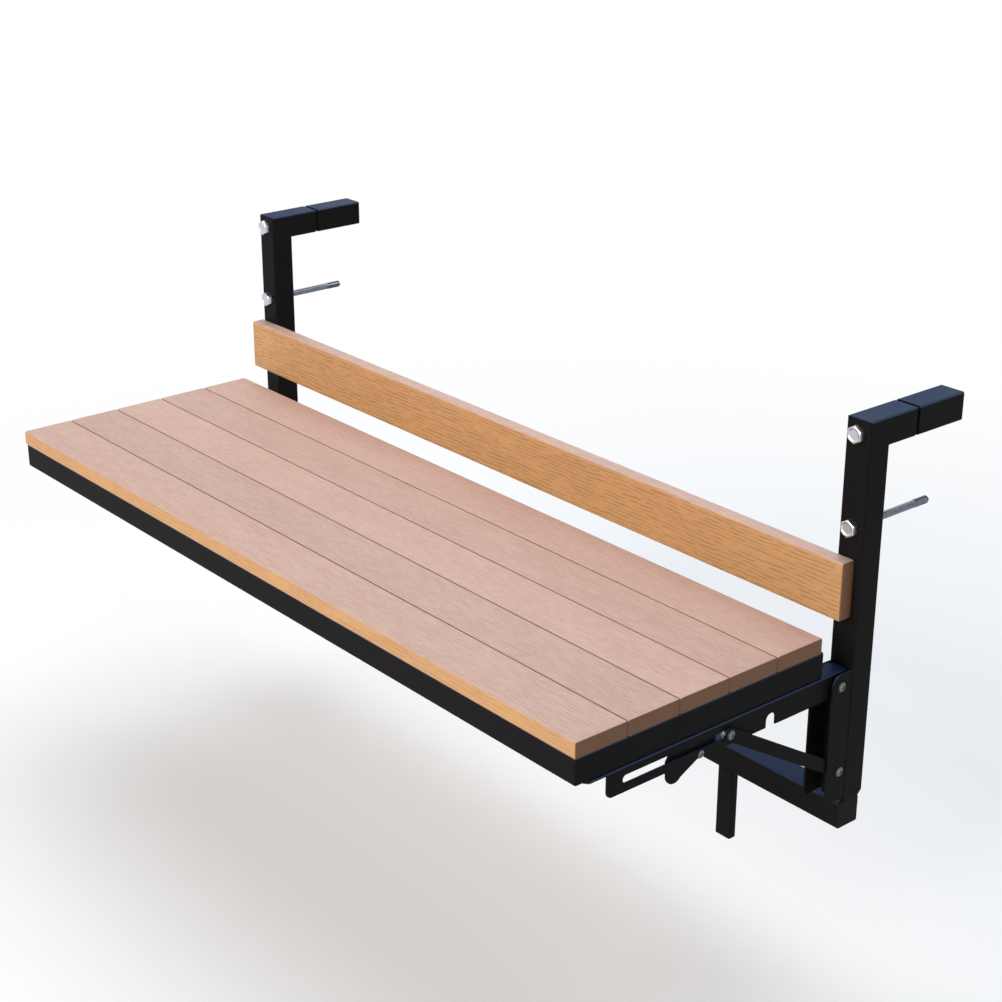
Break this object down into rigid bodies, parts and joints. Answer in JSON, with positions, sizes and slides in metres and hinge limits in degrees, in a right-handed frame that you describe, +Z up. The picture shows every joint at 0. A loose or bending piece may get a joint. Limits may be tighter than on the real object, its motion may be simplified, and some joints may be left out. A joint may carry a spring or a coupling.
{
  "type": "balcony railing bar table",
  "caption": "Fold-down slatted bar table that hooks over a balcony railing, with hooked uprights, clamp bolts, slotted brackets, folding struts and a rear board",
  "frame": {"origin": "Midway between the two lower clamp bolts, on the plane of the uprights' rear faces that bears on the railing", "axes": "+X runs to the right along the table, +Y points from the user to the railing and square to it, +Z is up"},
  "size_m": [1.2233, 0.591, 0.616],
  "materials": {
    "slat_wood": "orange-brown slats with a fine embossed grain and a satin surface",
    "black_steel": "black powder coat, satin",
    "zinc_steel": "bright zinc plating",
    "black_plastic": "moulded black plastic caps"
  },
  "bodies": {
    "hanger": {"upright_left": "black_steel", "upright_right": "black_steel", "arm_tube_left": "black_steel", "arm_tube_right": "black_steel", "crossbar": "black_steel", "crossbar_cap_left": "black_plastic", "crossbar_cap_right": "black_plastic", "stub_leg_left": "black_steel", "stub_leg_right": "black_steel", "stub_cap_left": "black_plastic", "stub_cap_right": "black_plastic", "hinge_channel_left": "black_steel", "hinge_channel_right": "black_steel", "backboard": "slat_wood", "backboard_screws": "zinc_steel", "top_pivot_pins": "zinc_steel", "lower_pivot_pins": "zinc_steel", "weld_beads": "black_steel"},
    "tabletop": {"slat_1": "slat_wood", "slat_2": "slat_wood", "slat_3": "slat_wood", "slat_4": "slat_wood", "slat_5": "slat_wood", "front_rail": "black_steel", "rear_rail": "black_steel", "rail_left": "black_steel", "rail_right": "black_steel", "support_strap_1": "black_steel", "support_strap_2": "black_steel", "support_strap_3": "black_steel", "support_strap_4": "black_steel", "slat_screws": "zinc_steel", "side_bracket_left": "black_steel", "side_bracket_right": "black_steel", "bracket_screws": "zinc_steel", "latch_rivets": "zinc_steel"},
    "strut_left_body": {"strut_left": "black_steel", "strut_pin_left": "zinc_steel"},
    "slider_left_body": {"slot_slider_left": "zinc_steel"},
    "latch_left_body": {"latch_lever_left": "black_steel"},
    "arm_extension_left": {"arm_sleeve_left": "black_steel", "arm_spigot_left": "black_steel", "nut_plate_left": "zinc_steel", "arm_end_cap_left": "black_plastic"},
    "upper_bolt_left_body": {"upper_bolt_left": "zinc_steel"},
    "lower_bolt_left_body": {"lower_bolt_left": "zinc_steel"},
    "strut_right_body": {"strut_right": "black_steel", "strut_pin_right": "zinc_steel"},
    "slider_right_body": {"slot_slider_right": "zinc_steel"},
    "latch_right_body": {"latch_lever_right": "black_steel"},
    "arm_extension_right": {"arm_sleeve_right": "black_steel", "arm_spigot_right": "black_steel", "nut_plate_right": "zinc_steel", "arm_end_cap_right": "black_plastic"},
    "upper_bolt_right_body": {"upper_bolt_right": "zinc_steel"},
    "lower_bolt_right_body": {"lower_bolt_right": "zinc_steel"}
  },
  "joints": [
    {"name": "tabletop_fold", "type": "hinge", "parent": "hanger", "child": "tabletop", "pos_m": [0, -0.0525, -0.191], "axis": [1, 0, 0], "range_deg": [0, 88]},
    {"name": "strut_swing_left", "type": "hinge", "parent": "hanger", "child": "strut_left_body", "pos_m": [-0.60395, -0.046, -0.306], "axis": [1, 0, 0], "range_deg": [0, 117.22]},
    {"name": "slot_slide_left", "type": "slide", "parent": "tabletop", "child": "slider_left_body", "axis": [0, -1, 0], "range_m": [0, 0.154]},
    {"name": "latch_swing_left", "type": "hinge", "parent": "tabletop", "child": "latch_left_body", "pos_m": [-0.59485, -0.276, -0.202], "axis": [1, 0, 0], "range_deg": [0, 18], "stiffness_Nm_per_rad": 0.1, "springref_deg": -17.19},
    {"name": "arm_slide_left", "type": "slide", "parent": "hanger", "child": "arm_extension_left", "axis": [0, 1, 0], "range_m": [-0.0045, 0.03]},
    {"name": "upper_bolt_turn_left", "type": "hinge", "parent": "hanger", "child": "upper_bolt_left_body", "pos_m": [-0.5905, -0.035, 0.1135], "axis": [0, -1, 0], "continuous": true},
    {"name": "lower_bolt_turn_left", "type": "hinge", "parent": "hanger", "child": "lower_bolt_left_body", "pos_m": [-0.5905, -0.035, 0], "axis": [0, 1, 0], "continuous": true},
    {"name": "strut_swing_right", "type": "hinge", "parent": "hanger", "child": "strut_right_body", "pos_m": [0.60395, -0.046, -0.306], "axis": [1, 0, 0], "range_deg": [0, 117.22]},
    {"name": "slot_slide_right", "type": "slide", "parent": "tabletop", "child": "slider_right_body", "axis": [0, -1, 0], "range_m": [0, 0.154]},
    {"name": "latch_swing_right", "type": "hinge", "parent": "tabletop", "child": "latch_right_body", "pos_m": [0.59485, -0.276, -0.202], "axis": [1, 0, 0], "range_deg": [0, 18], "stiffness_Nm_per_rad": 0.1, "springref_deg": -17.19},
    {"name": "arm_slide_right", "type": "slide", "parent": "hanger", "child": "arm_extension_right", "axis": [0, 1, 0], "range_m": [-0.0045, 0.03]},
    {"name": "upper_bolt_turn_right", "type": "hinge", "parent": "hanger", "child": "upper_bolt_right_body", "pos_m": [0.5905, -0.035, 0.1135], "axis": [0, -1, 0], "continuous": true},
    {"name": "lower_bolt_turn_right", "type": "hinge", "parent": "hanger", "child": "lower_bolt_right_body", "pos_m": [0.5905, -0.035, 0], "axis": [0, 1, 0], "continuous": true}
  ],
  "couplings": [
    {"joint": "strut_swing_left", "follows": "tabletop_fold", "ratio": 1.3264},
    {"joint": "slot_slide_left", "follows": "tabletop_fold", "m_per_rad": 0.099835},
    {"joint": "upper_bolt_turn_left", "follows": "arm_slide_left", "rad_per_m": 4188.8},
    {"joint": "strut_swing_right", "follows": "tabletop_fold", "ratio": 1.3264},
    {"joint": "slot_slide_right", "follows": "tabletop_fold", "m_per_rad": 0.099835},
    {"joint": "upper_bolt_turn_right", "follows": "arm_slide_right", "rad_per_m": 4188.8}
  ]
}
